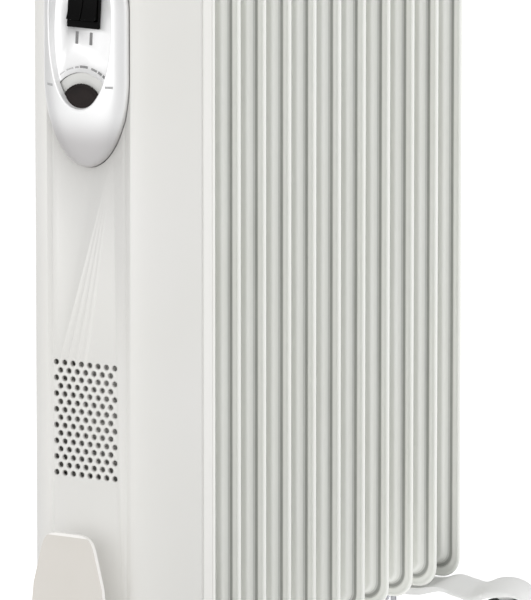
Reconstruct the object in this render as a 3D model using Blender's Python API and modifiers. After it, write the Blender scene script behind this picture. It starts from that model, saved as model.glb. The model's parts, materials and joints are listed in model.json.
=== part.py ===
"""Oil filled radiator heater: pressed fins on two oil headers, a control housing and castor feet.

Frame: metres, +Z up, origin on the floor under the middle of the object. -Y is the control end,
+Y is the blind end of the fins, and X runs across the fins.
"""
import math

import bmesh
import bpy
from mathutils import Matrix, Vector

# ---------------------------------------------------------------- driving dimensions
MM = 0.001
GAP = 0.3 * MM                 # clearance between neighbouring pieces

FIN_COUNT = 11
FIN_PITCH = 38 * MM
FIN_1_Y = -147.2 * MM
FIN_HALF_WIDTH = 67.5 * MM
FIN_BOTTOM = 72 * MM
FIN_TOP = 652 * MM
FIN_CORNER = 16 * MM
FIN_SECTION = ((0, 1.75 * MM), (8.5 * MM, 1.75 * MM), (16.5 * MM, 6.5 * MM))  # inset, half thickness
SKIN = 0.8 * MM

HEADER_RADIUS = 17 * MM
HEADER_WALL = 1.5 * MM
HEADER_INSET = 45 * MM         # header centre from the fin's end

FACE_Y = FIN_1_Y - 67.6 * MM
FACE_HALF_WIDTH = 32.5 * MM
SIDE_SWEEP_X = 34.4 * MM
SIDE_SWEEP_Y = 70.6 * MM
HOUSING_BOTTOM = 78 * MM
HOUSING_TOP = 656 * MM
END_SWEEP_Z = 14 * MM
HOUSING_CORNER = 10 * MM
PARTING_Y = FIN_1_Y - 14 * MM
PARTING_GAP = 1.0 * MM         # a shadow line between the two halves of the housing
HOUSING_REAR_Y = FIN_1_Y - 2.2 * MM
COVER_WALL = 2.5 * MM
SHELL_WALL = 2.0 * MM

PANEL_HALF_WIDTH = 36 * MM
PANEL_BOTTOM = 465 * MM
PANEL_TOP = 628 * MM
PANEL_END = 48 * MM            # height of each half-ellipse end
PANEL_CROWN = 15.5 * MM
PANEL_POWER = 2.6              # above 2, the pillow is fuller than an ellipse
PANEL_WALL = 2.4 * MM
SCOOP_HALF_WIDTH = 26 * MM
SCOOP_TIP = 510 * MM
SCOOP_MIDDLE = 575 * MM        # where the U is widest
SCOOP_TOP = 619 * MM
SCOOP_POWERS = (2.2, 2.6)      # of the superellipses below and above the middle
SCOOP_LEAN = 0.085             # how far the control plane leans back for each metre of height
SCOOP_TIP_HEIGHT = 9.7 * MM    # of the control plane above the housing's face

DIAL_Z = 511 * MM
DIAL_RADIUS = 25 * MM
DIAL_SINK = 1.5 * MM           # the ring's face below the control plane
DIAL_THICKNESS = 2.2 * MM
HUB_RADIUS = 17 * MM
HUB_EDGE = 0.8 * MM            # heights above the control plane
HUB_CROWN = 1.8 * MM
SHAFT_RADIUS = 3 * MM
SHAFT_LENGTH = 15 * MM
SWITCH_Z = 584.5 * MM
SWITCH_WIDTH = 27 * MM
SWITCH_HEIGHT = 32 * MM
ROCKER_TILT = math.radians(-8)    # the lower ends stand out at rest

VENT_CENTRE = (-3.2 * MM, 275.7 * MM)
VENT_PITCH_X = 7.05 * MM
VENT_PITCH_Z = 5.91 * MM
VENT_ROWS = 15
VENT_RADIUS = 2.1 * MM

GLAND_Y = FACE_Y + 38 * MM

# Half width, distance off the face and height of the hook, in millimetres, from its top to its root.
HOOK_STATIONS = ((10, 32, 197.5), (17, 32, 195.3), (20.5, 32, 190.5), (24.6, 32, 176), (29, 32, 158),
                 (31, 32, 138), (31.5, 31, 116), (30, 25, 104), (28, 14, 99), (27, 3.4, 98), (27, 3.4, 114))
HOOK_WALL = 3 * MM

# Distance from the middle and height of a foot's top, in millimetres.
FOOT_PROFILE = ((0, 70.5), (40, 70.5), (52, 71.3), (57, 72.2), (62, 74.4), (73, 79), (85, 77.6), (97, 76),
                (104, 78.4), (111, 81.8), (118, 82.6), (125, 82.2), (132, 79.6), (138, 74.4), (141, 69))
FOOT_HALF_SPAN = 141 * MM
FOOT_HALF_LENGTH = 27 * MM
FOOT_WALL = 2.5 * MM
FOOT_SKIRT = 8.5 * MM
FRONT_FOOT_Y = FIN_1_Y + 0.5 * FIN_PITCH
REAR_FOOT_Y = FIN_1_Y + 9.5 * FIN_PITCH

U_BOLT_ROD = 2.5 * MM
U_BOLT_LEG = HEADER_RADIUS + U_BOLT_ROD + GAP
U_BOLT_BOTTOM = 52 * MM
WING_NUT_TOP = 67.5 * MM

CASTOR_X = 118 * MM
CASTOR_TRAIL = 12 * MM
CASTOR_STEM = 4 * MM
FORK_TOP = 65 * MM
SOCKET_BOTTOM = 66 * MM
SOCKET_TOP = 80.8 * MM
STEM_TOP = 76 * MM
WHEEL_RADIUS = 21 * MM
WHEEL_WIDTH = 16 * MM
WHEEL_STEPS = 18
WHEEL_Z = WHEEL_RADIUS * math.cos(math.pi / WHEEL_STEPS)   # a flat of the wheel lies on the floor
AXLE_RADIUS = 2.5 * MM
CASTORS = {"front_left": (-1, FRONT_FOOT_Y, 250), "front_right": (1, FRONT_FOOT_Y, 290),
           "rear_left": (-1, REAR_FOOT_Y, 110), "rear_right": (1, REAR_FOOT_Y, 70)}

Y_AXIS = Matrix.Rotation(math.radians(-90), 4, "X")    # turns +Z to +Y
X_AXIS = Matrix.Rotation(math.radians(90), 4, "Y")     # turns +Z to +X


# ---------------------------------------------------------------- scene, materials, helpers
def clear_scene():
    for item in list(bpy.data.objects):
        bpy.data.objects.remove(item, do_unlink=True)


def new_collection(name):
    group = bpy.data.collections.new(name)
    bpy.context.scene.collection.children.link(group)
    return group


clear_scene()
PARTS = new_collection("oil_filled_radiator_heater")
CUTTERS = new_collection("cutters")


def material(name, colour, roughness, metallic=0.0):
    made = bpy.data.materials.new(name)
    made.use_nodes = True
    shader = made.node_tree.nodes["Principled BSDF"]
    shader.inputs["Base Color"].default_value = (*colour, 1.0)
    shader.inputs["Roughness"].default_value = roughness
    shader.inputs["Metallic"].default_value = metallic
    return made


ENAMEL = material("fin_enamel", (0.72, 0.72, 0.69), 0.35)
WHITE_PLASTIC = material("white_plastic", (0.80, 0.80, 0.78), 0.45)
PEARL = material("pearl_plastic", (0.74, 0.74, 0.74), 0.30, 0.2)
BLACK_PLASTIC = material("black_plastic", (0.02, 0.02, 0.02), 0.40)
GREY_PLASTIC = material("grey_plastic", (0.55, 0.55, 0.54), 0.45)
STEEL = material("zinc_steel", (0.60, 0.60, 0.62), 0.30, 1.0)
COPPER = material("element_sheath", (0.55, 0.30, 0.18), 0.35, 1.0)
RUBBER = material("tread_rubber", (0.03, 0.03, 0.03), 0.70)


def add_piece(name, mesh, finish, location=(0, 0, 0), turn=None, smooth=False):
    """A named sub-part from a mesh, placed by a turn and a location."""
    if smooth:
        mesh.shade_smooth()
        mesh.set_sharp_from_angle(angle=math.radians(35))
    mesh.materials.clear()
    mesh.materials.append(finish)
    piece = bpy.data.objects.new(name, mesh)
    piece.matrix_world = Matrix.Translation(location) @ (turn or Matrix.Identity(4))
    PARTS.objects.link(piece)
    return piece


def add_cutter(name, mesh, location=(0, 0, 0), turn=None):
    cutter = bpy.data.objects.new(name, mesh)
    cutter.matrix_world = Matrix.Translation(location) @ (turn or Matrix.Identity(4))
    cutter.hide_render = True
    cutter.display_type = "WIRE"
    CUTTERS.objects.link(cutter)
    return cutter


def boolean(piece, other, operation="DIFFERENCE"):
    step = piece.modifiers.new(other.name, "BOOLEAN")
    step.operation = operation
    step.object = other
    step.solver = "EXACT"


def solidify(piece, thickness):
    step = piece.modifiers.new("wall", "SOLIDIFY")
    step.thickness = thickness
    step.offset = -1
    step.use_even_offset = True


def mesh_from(name, build):
    """A mesh made by calling build on an empty bmesh."""
    bm = bmesh.new()
    build(bm)
    mesh = bpy.data.meshes.new(name)
    bm.to_mesh(mesh)
    bm.free()
    return mesh


def box_mesh(name, size, centres=((0, 0, 0),)):
    def build(bm):
        for centre in centres:
            place = Matrix.Translation(centre) @ Matrix.Diagonal((*size, 1))
            bmesh.ops.create_cube(bm, size=1, matrix=place)
    return mesh_from(name, build)


def rod_mesh(name, radius, length, segments=14):
    """A capped cylinder along +Z, centred on its origin."""
    def build(bm):
        bmesh.ops.create_cone(bm, cap_ends=True, segments=segments, radius1=radius, radius2=radius,
                              depth=length)
    return mesh_from(name, build)


def loft_mesh(name, loops, open_last=False):
    """Skin a list of closed loops of equal length, capped at both ends, facing out."""
    def build(bm):
        rings = [[bm.verts.new(point) for point in loop] for loop in loops]
        for low, high in zip(rings, rings[1:]):
            for i in range(len(low)):
                j = (i + 1) % len(low)
                bm.faces.new((low[i], low[j], high[j], high[i]))
        bm.faces.new(rings[0])
        last = bm.faces.new(rings[-1])
        bmesh.ops.recalc_face_normals(bm, faces=bm.faces)
        if open_last:
            bmesh.ops.delete(bm, geom=[last], context="FACES_ONLY")
    return mesh_from(name, build)


def extrude_mesh(name, outline, axis_range, place):
    """A flat outline carried from one end of axis_range to the other; place(u, v, w) gives a point."""
    return loft_mesh(name, [[place(u, v, w) for u, v in outline] for w in axis_range])


def rounded_rectangle(half_width, low, high, radius, segments=3):
    """Points (x, z) round a rectangle with arcs at its corners."""
    points = []
    corners = ((half_width - radius, high - radius, 0), (radius - half_width, high - radius, 90),
               (radius - half_width, low + radius, 180), (half_width - radius, low + radius, 270))
    for x, z, start in corners:
        for step in range(segments + 1):
            angle = math.radians(start + 90 * step / segments)
            points.append((x + radius * math.cos(angle), z + radius * math.sin(angle)))
    return points


def turned_piece(name, profile, finish, steps, location=(0, 0, 0), turn=None):
    """A profile of (radius, height) at +X, run round Z with a Screw modifier."""
    def build(bm):
        points = [bm.verts.new((radius, 0, height)) for radius, height in profile]
        for first, second in zip(points, points[1:] + points[:1]):
            bm.edges.new((first, second))
    piece = add_piece(name, mesh_from(name, build), finish, location, turn)
    step = piece.modifiers.new("turn", "SCREW")
    step.steps = step.render_steps = steps
    step.use_merge_vertices = True
    step.merge_threshold = 0.00005
    step.use_smooth_shade = True


# ---------------------------------------------------------------- fins and oil headers
def fin_mesh():
    loops = []
    sides = [(inset, -half) for inset, half in reversed(FIN_SECTION)]
    sides += [(inset, half) for inset, half in FIN_SECTION]
    for inset, y in sides:
        outline = rounded_rectangle(FIN_HALF_WIDTH - inset, FIN_BOTTOM + inset, FIN_TOP - inset,
                                    max(FIN_CORNER - 0.6 * inset, 6 * MM))
        loops.append([(x, y, z) for x, z in outline])
    return loft_mesh("fin", loops)


HEADER_LEVELS = {"lower": FIN_BOTTOM + HEADER_INSET, "upper": FIN_TOP - HEADER_INSET}
HEADER_FRONT_Y = FIN_1_Y - 9 * MM
LAST_FIN_Y = FIN_1_Y + (FIN_COUNT - 1) * FIN_PITCH
HEADER_REAR_Y = LAST_FIN_Y + 3 * MM


def fins():
    bore_length = LAST_FIN_Y - HEADER_FRONT_Y + 12 * MM
    bore_y = LAST_FIN_Y - bore_length / 2 + 4 * MM
    mesh = fin_mesh()
    bores = [add_cutter(f"{level}_header_bore", rod_mesh("bore", HEADER_RADIUS + GAP, bore_length),
                        (0, bore_y, z), Y_AXIS) for level, z in HEADER_LEVELS.items()]
    for number in range(FIN_COUNT):
        fin = add_piece(f"fin_{number + 1:02d}", mesh, ENAMEL, (0, FIN_1_Y + number * FIN_PITCH, 0),
                        smooth=True)
        solidify(fin, SKIN)
        for bore in bores:
            boolean(fin, bore)


def headers():
    """The two oil headers: tubes through the fins, with ports that open inside each fin."""
    length = HEADER_REAR_Y - HEADER_FRONT_Y
    middle = (HEADER_REAR_Y + HEADER_FRONT_Y) / 2
    ports = [(0, FIN_1_Y + number * FIN_PITCH, 0) for number in range(FIN_COUNT)]
    for level, z in HEADER_LEVELS.items():
        tube = add_piece(f"{level}_header", rod_mesh("tube", HEADER_RADIUS, length), ENAMEL,
                         (0, middle, z), Y_AXIS, smooth=True)
        bore = rod_mesh("tube_bore", HEADER_RADIUS - HEADER_WALL, length + 0.02)
        boolean(tube, add_cutter(f"{level}_tube_bore", bore, (0, middle, z), Y_AXIS))
        port = box_mesh("ports", (10 * MM, 6 * MM, 60 * MM), ports[:-1])
        boolean(tube, add_cutter(f"{level}_oil_ports", port, (0, 0, z)))


def header_fittings():
    lower, upper = HEADER_LEVELS["lower"], HEADER_LEVELS["upper"]
    flange_y = HEADER_FRONT_Y - GAP - 2 * MM
    flange = add_piece("element_flange", rod_mesh("flange", 21 * MM, 4 * MM), STEEL,
                       (0, flange_y, lower), Y_AXIS, smooth=True)
    for side in (-1, 1):
        hole = rod_mesh("element_hole", 4.4 * MM, 20 * MM, 12)
        boolean(flange, add_cutter(f"element_hole_{side}", hole, (side * 7 * MM, flange_y, lower), Y_AXIS))
    add_piece("filler_plug", rod_mesh("filler_plug", 19 * MM, 6 * MM, 6), STEEL,
              (0, HEADER_FRONT_Y - GAP - 3 * MM, upper), Y_AXIS)


def heating_element():
    """A sheathed rod bent into a long U inside the lower header, its cold ends through the flange."""
    leg = 7 * MM
    front = HEADER_FRONT_Y - 20 * MM
    bend = LAST_FIN_Y - 40 * MM
    route = [(-leg, front)]
    route += [(-leg * math.cos(math.radians(a)), bend + leg * math.sin(math.radians(a)))
              for a in range(0, 181, 30)]
    route += [(leg, front)]
    curve = bpy.data.curves.new("heating_element", "CURVE")
    curve.dimensions = "3D"
    curve.bevel_depth = 4 * MM
    curve.bevel_resolution = 2
    curve.use_fill_caps = True
    spline = curve.splines.new("POLY")
    spline.points.add(len(route) - 1)
    for point, (x, y) in zip(spline.points, route):
        point.co = (x, y, 0, 1)
    curve.materials.append(COPPER)
    element = bpy.data.objects.new("heating_element", curve)
    element.location = (0, 0, HEADER_LEVELS["lower"])
    PARTS.objects.link(element)


# ---------------------------------------------------------------- control housing
def housing_loop(y):
    """The housing's outline at one depth: its sides and ends sweep back along quarter ellipses."""
    cosine = max(0.0, 1 - (y - FACE_Y) / SIDE_SWEEP_Y)
    sweep = math.sqrt(1 - cosine ** 2)
    half_width = FACE_HALF_WIDTH + SIDE_SWEEP_X * sweep
    inset = END_SWEEP_Z * (1 - sweep)
    outline = rounded_rectangle(half_width, HOUSING_BOTTOM + inset, HOUSING_TOP - inset, HOUSING_CORNER)
    return [(x, y, z) for x, z in outline]


def vent_mesh():
    """Prisms for staggered rows of eight and seven vent holes."""
    def build(bm):
        for row in range(VENT_ROWS):
            count = 8 - row % 2
            z = VENT_CENTRE[1] + (row - (VENT_ROWS - 1) / 2) * VENT_PITCH_Z
            for column in range(count):
                x = VENT_CENTRE[0] + (column - (count - 1) / 2) * VENT_PITCH_X
                place = Matrix.Translation((x, FACE_Y, z)) @ Y_AXIS
                bmesh.ops.create_cone(bm, cap_ends=True, segments=4, radius1=VENT_RADIUS,
                                      radius2=VENT_RADIUS, depth=12 * MM, matrix=place)
    return mesh_from("vents", build)


def panel_outline(margin=0.0, count=32):
    """The control panel's long oval (x, z), with half-ellipse ends."""
    half_width = PANEL_HALF_WIDTH + margin
    low, high = PANEL_BOTTOM + PANEL_END, PANEL_TOP - PANEL_END
    points = []
    for step in range(count):
        angle = 2 * math.pi * (step + 0.5) / count
        z = high if math.sin(angle) > 0 else low
        points.append((half_width * math.cos(angle), z + (PANEL_END + margin) * math.sin(angle)))
    return points


def front_cover():
    sweep_angles = (0, 14, 28, 44, 60)
    depths = [FACE_Y + SIDE_SWEEP_Y * (1 - math.cos(math.radians(a))) for a in sweep_angles]
    loops = [housing_loop(y) for y in depths + [PARTING_Y - PARTING_GAP]]
    cover = add_piece("front_cover", loft_mesh("front_cover", loops, open_last=True), WHITE_PLASTIC,
                      smooth=True)
    solidify(cover, COVER_WALL)
    opening = extrude_mesh("panel_opening", panel_outline(margin=GAP), (FACE_Y - 0.02, FACE_Y + 0.03),
                           lambda x, z, y: (x, y, z))
    boolean(cover, add_cutter("panel_opening", opening))
    boolean(cover, add_cutter("vents", vent_mesh()))
    gland_hole = rod_mesh("gland_hole", 8 * MM + GAP, 40 * MM, 12)
    boolean(cover, add_cutter("gland_hole", gland_hole, (0, GLAND_Y, HOUSING_BOTTOM)))


def rear_shell():
    loops = [housing_loop(y) for y in (PARTING_Y, HOUSING_REAR_Y)]
    shell = add_piece("rear_shell", loft_mesh("rear_shell", loops, open_last=True), WHITE_PLASTIC,
                      smooth=True)
    solidify(shell, SHELL_WALL)
    for level, z in HEADER_LEVELS.items():
        hole = rod_mesh("header_hole", 23 * MM, 12 * MM)
        boolean(shell, add_cutter(f"{level}_header_hole", hole, (0, PARTING_Y, z), Y_AXIS))


def crown(x, z):
    """Height of the panel's pillow above the housing's face."""
    low, high = PANEL_BOTTOM + PANEL_END, PANEL_TOP - PANEL_END
    along = max(0.0, low - z, z - high) / PANEL_END
    radius = min(1.0, math.hypot(x / PANEL_HALF_WIDTH, along))
    return PANEL_CROWN * (1 - radius ** PANEL_POWER) ** (1 / PANEL_POWER)


def control_plane(z):
    """Height of the leaning plane that carries the controls."""
    return SCOOP_TIP_HEIGHT - SCOOP_LEAN * (z - SCOOP_TIP)


def scoop_outline(inset=0.0, count=32):
    """The U-shaped edge of the scoop (x, z), pointed at the bottom."""
    points = []
    for step in range(count):
        angle = 2 * math.pi * (step + 0.5) / count
        c, s = math.cos(angle), math.sin(angle)
        power = SCOOP_POWERS[s > 0]
        reach = (SCOOP_TOP - SCOOP_MIDDLE if s > 0 else SCOOP_MIDDLE - SCOOP_TIP) - inset
        x = math.copysign(abs(c) ** (2 / power), c) * (SCOOP_HALF_WIDTH - inset)
        points.append((x, SCOOP_MIDDLE + math.copysign(abs(s) ** (2 / power), s) * reach))
    return points


def control_panel():
    """A crowned oval with a scoop: a lip, a wall and a leaning plane, cut away for the dial."""
    rim = panel_outline()
    lip = scoop_outline()
    loops = [[(x, FACE_Y + COVER_WALL, z) for x, z in rim],
             [(x, FACE_Y, z) for x, z in rim]]
    for blend in (0.06, 0.3, 0.7):
        ring = [(x0 + (x1 - x0) * blend, z0 + (z1 - z0) * blend)
                for (x0, z0), (x1, z1) in zip(rim, lip)]
        loops.append([(x, FACE_Y - crown(x, z), z) for x, z in ring])
    loops.append([(x, FACE_Y - crown(x, z), z) for x, z in lip])
    loops.append([(x, FACE_Y - control_plane(z), z) for x, z in scoop_outline(0.8 * MM)])
    loops.reverse()
    panel = add_piece("control_panel", loft_mesh("control_panel", loops, open_last=True), PEARL,
                      smooth=True)
    solidify(panel, PANEL_WALL)
    opening = box_mesh("switch_opening", (SWITCH_WIDTH - 2 * MM, SWITCH_HEIGHT - 2 * MM, 40 * MM))
    boolean(panel, add_cutter("switch_opening", opening, *placed(plane_frame(SWITCH_Z), 0, 0, 0)))
    boolean(panel, add_cutter("dial_opening", dial_opening_mesh(), *placed(plane_frame(DIAL_Z), 0, 0, 0)))


def dial_opening_mesh():
    """A circle flattened just under the scoop's tip, so that the skin over the dial stays whole."""
    radius, floor = DIAL_RADIUS + 0.4 * MM, -7 * MM
    start = math.asin(floor / radius)
    steps = 24
    outline = []
    for step in range(steps + 1):
        angle = start + (math.pi - 2 * start) * step / steps
        outline.append((radius * math.cos(angle), radius * math.sin(angle)))
    return extrude_mesh("dial_opening", outline, (-14 * MM, HUB_CROWN + 0.5 * MM), lambda u, v, w: (u, v, w))


def plane_frame(z):
    """A frame on the control plane at height z: local +Z out of the panel, local +X along world +X."""
    out = Vector((0, -1, SCOOP_LEAN)).normalized()
    across = Vector((1, 0, 0))
    up = out.cross(across)
    turn = Matrix((across, up, out)).transposed().to_4x4()
    return Matrix.Translation((0, FACE_Y - control_plane(z), z)) @ turn


def placed(frame, x, y, z):
    """The frame moved to a point given in its own axes."""
    moved = frame @ Matrix.Translation((x, y, z))
    return moved.translation, moved.to_3x3().to_4x4()


# ---------------------------------------------------------------- controls
def switches():
    """A frame with two rockers side by side, and the switch body behind the panel."""
    frame = plane_frame(SWITCH_Z)
    bezel = add_piece("switch_frame", box_mesh("switch_frame", (SWITCH_WIDTH, SWITCH_HEIGHT, 2.4 * MM)),
                      BLACK_PLASTIC, *placed(frame, 0, 0, 1.2 * MM + GAP))
    window = box_mesh("switch_window", (SWITCH_WIDTH - 2.4 * MM, SWITCH_HEIGHT - 7 * MM, 20 * MM))
    boolean(bezel, add_cutter("switch_window", window, *placed(frame, 0, 1.5 * MM, 0)))
    body_front = -9 * MM
    add_piece("switch_body", box_mesh("switch_body", (22 * MM, 26 * MM, 18 * MM)), BLACK_PLASTIC,
              *placed(frame, 0, 0, body_front - 9 * MM))
    for side, name in ((-1, "left"), (1, "right")):
        half_height = 12.2 * MM
        outline = [(-half_height, 3.5 * MM), (0, 1.6 * MM), (half_height, 3.5 * MM),
                   (half_height - 3 * MM, -4 * MM), (-half_height + 3 * MM, -4 * MM)]
        half_width = 5.7 * MM
        mesh = extrude_mesh("rocker", outline, (-half_width, half_width), lambda u, v, w: (w, u, v))
        location, turn = placed(frame, side * 6 * MM, 1.5 * MM, 2.6 * MM)
        add_piece(f"rocker_{name}", mesh, BLACK_PLASTIC, location,
                  turn @ Matrix.Rotation(ROCKER_TILT, 4, "X"))


def thermostat():
    """A dial half under the panel's skin: its ring, its domed hub, its shaft, and the thermostat."""
    frame = plane_frame(DIAL_Z)
    base = -DIAL_SINK - DIAL_THICKNESS
    bore = SHAFT_RADIUS + GAP
    turned_piece("dial", [(bore, -DIAL_SINK), (DIAL_RADIUS, -DIAL_SINK), (DIAL_RADIUS, base), (bore, base)],
                 GREY_PLASTIC, 32, *placed(frame, 0, 0, 0))
    foot = GAP - DIAL_SINK
    profile = [(HUB_RADIUS * share, HUB_CROWN - (HUB_CROWN - HUB_EDGE) * share ** 2)
               for share in (0, 0.2, 0.5, 0.8, 1)]
    profile += [(HUB_RADIUS, foot), (0, foot)]
    turned_piece("dial_grip", profile, BLACK_PLASTIC, 32, *placed(frame, 0, 0, 0))
    add_piece("dial_shaft", rod_mesh("dial_shaft", SHAFT_RADIUS, SHAFT_LENGTH, 12), STEEL,
              *placed(frame, 0, 0, -DIAL_SINK - SHAFT_LENGTH / 2))
    width, height, depth = 30 * MM, 34 * MM, 22 * MM
    add_piece("thermostat", box_mesh("thermostat", (width, height, depth)), GREY_PLASTIC,
              *placed(frame, 0, 0, -DIAL_SINK - SHAFT_LENGTH - GAP - depth / 2))


def electrics():
    """What the housing holds: terminals, cut-out and tilt switch on the rear shell, and the cord gland."""
    plate_y = PARTING_Y - GAP
    add_piece("terminal_block", box_mesh("terminal_block", (44 * MM, 14 * MM, 18 * MM)), WHITE_PLASTIC,
              (0, plate_y - 7 * MM, 420 * MM))
    add_piece("thermal_cutout", rod_mesh("thermal_cutout", 9 * MM, 10 * MM), BLACK_PLASTIC,
              (26 * MM, plate_y - 5 * MM, 190 * MM), Y_AXIS, smooth=True)
    add_piece("tilt_switch", box_mesh("tilt_switch", (26 * MM, 18 * MM, 30 * MM)), BLACK_PLASTIC,
              (-24 * MM, plate_y - 9 * MM, 200 * MM))
    wall = 5 * MM
    turned_piece("cord_gland", [(4 * MM, wall), (8 * MM, wall), (8 * MM, -0.5 * MM), (11 * MM, -0.5 * MM),
                                (9 * MM, -9 * MM), (4 * MM, -9 * MM)], BLACK_PLASTIC, 16,
                 (0, GLAND_Y, gland_level()), Matrix.Identity(4))


def gland_level():
    """The housing's underside is swept, so the gland's collar hangs from its lowest line there."""
    cosine = 1 - (GLAND_Y + 11 * MM - FACE_Y) / SIDE_SWEEP_Y
    return HOUSING_BOTTOM + END_SWEEP_Z * (1 - math.sqrt(1 - cosine ** 2)) - GAP


def cord_hook():
    """An upright tongue that stands off the housing's face, bent back to it at the bottom."""
    columns = (-1, -0.55, 0, 0.55, 1)

    def build(bm):
        rows = [[bm.verts.new((c * half * MM, FACE_Y - off * MM, z * MM)) for c in columns]
                for half, off, z in HOOK_STATIONS]
        for upper, lower in zip(rows, rows[1:]):
            for i in range(len(columns) - 1):
                bm.faces.new((upper[i], lower[i], lower[i + 1], upper[i + 1]))
    hook = add_piece("cord_hook", mesh_from("cord_hook", build), WHITE_PLASTIC, smooth=True)
    solidify(hook, HOOK_WALL)


# ---------------------------------------------------------------- feet and castors
def foot(name, centre_y):
    """A pressed gull-wing arm with down-turned edges."""
    half = [(x * MM, z * MM) for x, z in FOOT_PROFILE]
    stations = [(-x, z) for x, z in reversed(half[1:])] + half

    def build(bm):
        rows = []
        for x, z in stations:
            reach = max(0.0, (abs(x) - 95 * MM) / (FOOT_HALF_SPAN - 95 * MM))
            half_length = FOOT_HALF_LENGTH * math.sqrt(1 - 0.75 * reach ** 2)
            skirt = FOOT_SKIRT * (1 - 0.5 * reach)
            row = [(-half_length, z - skirt), (-half_length + 3 * MM, z), (0, z),
                   (half_length - 3 * MM, z), (half_length, z - skirt)]
            rows.append([bm.verts.new((x, centre_y + y, level)) for y, level in row])
        for left, right in zip(rows, rows[1:]):
            for i in range(4):
                bm.faces.new((left[i], right[i], right[i + 1], left[i + 1]))
    piece = add_piece(name, mesh_from(name, build), WHITE_PLASTIC, smooth=True)
    solidify(piece, FOOT_WALL)
    for side in (-1, 1):
        place = (side * CASTOR_X, centre_y, (SOCKET_TOP + SOCKET_BOTTOM) / 2)
        boss = rod_mesh("socket", 7 * MM, SOCKET_TOP - SOCKET_BOTTOM, 12)
        boolean(piece, add_cutter(f"{name}_socket_{side}", boss, place), "UNION")
        hole_bottom = SOCKET_BOTTOM - 10 * MM
        hole = rod_mesh("stem_hole", CASTOR_STEM + GAP, STEM_TOP - hole_bottom, 12)
        place = (side * CASTOR_X, centre_y, (STEM_TOP + hole_bottom) / 2 + GAP)
        boolean(piece, add_cutter(f"{name}_stem_hole_{side}", hole, place))
        hole = rod_mesh("bolt_hole", U_BOLT_ROD + 0.5 * MM, 30 * MM, 12)
        boolean(piece, add_cutter(f"{name}_bolt_hole_{side}", hole, (side * U_BOLT_LEG, centre_y, 66 * MM)))


def u_bolt(name, centre_y):
    """A rod bent over the lower header, its two ends through the foot."""
    z = HEADER_LEVELS["lower"]
    route = [(-U_BOLT_LEG, U_BOLT_BOTTOM)]
    route += [(-U_BOLT_LEG * math.cos(math.radians(a)), z + U_BOLT_LEG * math.sin(math.radians(a)))
              for a in range(0, 181, 20)]
    route += [(U_BOLT_LEG, U_BOLT_BOTTOM)]
    curve = bpy.data.curves.new(name, "CURVE")
    curve.dimensions = "3D"
    curve.bevel_depth = U_BOLT_ROD
    curve.bevel_resolution = 2
    curve.use_fill_caps = True
    spline = curve.splines.new("POLY")
    spline.points.add(len(route) - 1)
    for point, (x, level) in zip(spline.points, route):
        point.co = (x, 0, level, 1)
    curve.materials.append(STEEL)
    bolt = bpy.data.objects.new(name, curve)
    bolt.location = (0, centre_y, 0)
    PARTS.objects.link(bolt)


def wing_nut(name, x, y):
    """A nut with two flat ears, on one leg of a U-bolt."""
    nut = add_piece(name, rod_mesh(name, 5.5 * MM, 7 * MM, 12), STEEL, (x, y, WING_NUT_TOP - 3.5 * MM))
    ears = box_mesh("ears", (2.4 * MM, 26 * MM, 9 * MM))
    ears = add_cutter(f"{name}_ears", ears, (x, y, WING_NUT_TOP - 7 * MM))
    boolean(nut, ears, "UNION")
    bore = rod_mesh("nut_bore", U_BOLT_ROD + GAP, 40 * MM, 12)
    boolean(nut, add_cutter(f"{name}_bore", bore, (x, y, WING_NUT_TOP - 4 * MM)))


def castor(name, x, y, heading):
    """One swivel castor: a hooded fork with its stem, a wheel, and the axle between the cheeks."""
    swivel = Matrix.Translation((x, y, 0)) @ Matrix.Rotation(math.radians(heading), 4, "Z")
    hub = swivel @ Matrix.Translation((CASTOR_TRAIL, 0, WHEEL_Z))
    turn = swivel.to_3x3().to_4x4()
    half_width = 11.5 * MM
    outline = [(-12 * MM, FORK_TOP - 4 * MM), (-9 * MM, FORK_TOP), (10 * MM, FORK_TOP), (26 * MM, 42 * MM),
               (27 * MM, 34 * MM), (19 * MM, WHEEL_Z - 3 * MM), (14 * MM, WHEEL_Z - 6 * MM),
               (9 * MM, WHEEL_Z - 5 * MM), (-6 * MM, 34 * MM)]
    mesh = extrude_mesh("fork", outline, (-half_width, half_width), lambda u, v, w: (u, w, v))
    fork = add_piece(f"castor_{name}_fork", mesh, BLACK_PLASTIC, swivel.translation, turn)
    stem_length = STEM_TOP - FORK_TOP + 2 * MM
    stem = rod_mesh("stem", CASTOR_STEM, stem_length, 12)
    stem_place = swivel.translation + Vector((0, 0, STEM_TOP - stem_length / 2))
    boolean(fork, add_cutter(f"castor_{name}_stem", stem, stem_place, turn), "UNION")
    slot = rod_mesh("wheel_slot", WHEEL_RADIUS + 2 * MM, WHEEL_WIDTH + 2 * MM, 20)
    across = Matrix.Rotation(math.radians(-90), 4, "X")
    boolean(fork, add_cutter(f"castor_{name}_slot", slot, hub.translation, turn @ across))
    bore = rod_mesh("axle_bore", AXLE_RADIUS + GAP, 40 * MM, 12)
    boolean(fork, add_cutter(f"castor_{name}_axle_bore", bore, hub.translation, turn @ across))
    add_piece(f"castor_{name}_axle", rod_mesh("axle", AXLE_RADIUS, 2 * half_width, 12), STEEL,
              hub.translation, turn @ across, smooth=True)
    half_tread, chamfer = WHEEL_WIDTH / 2, 2 * MM
    bore_radius = AXLE_RADIUS + GAP
    profile = [(bore_radius, half_tread), (WHEEL_RADIUS - chamfer, half_tread),
               (WHEEL_RADIUS, half_tread - chamfer), (WHEEL_RADIUS, chamfer - half_tread),
               (WHEEL_RADIUS - chamfer, -half_tread), (bore_radius, -half_tread)]
    half_step = math.pi / WHEEL_STEPS
    flat_down = Matrix.Rotation(math.radians(90) + half_step, 4, "Z")
    turned_piece(f"castor_{name}_wheel", profile, RUBBER, WHEEL_STEPS, hub.translation,
                 turn @ across @ flat_down)


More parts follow.
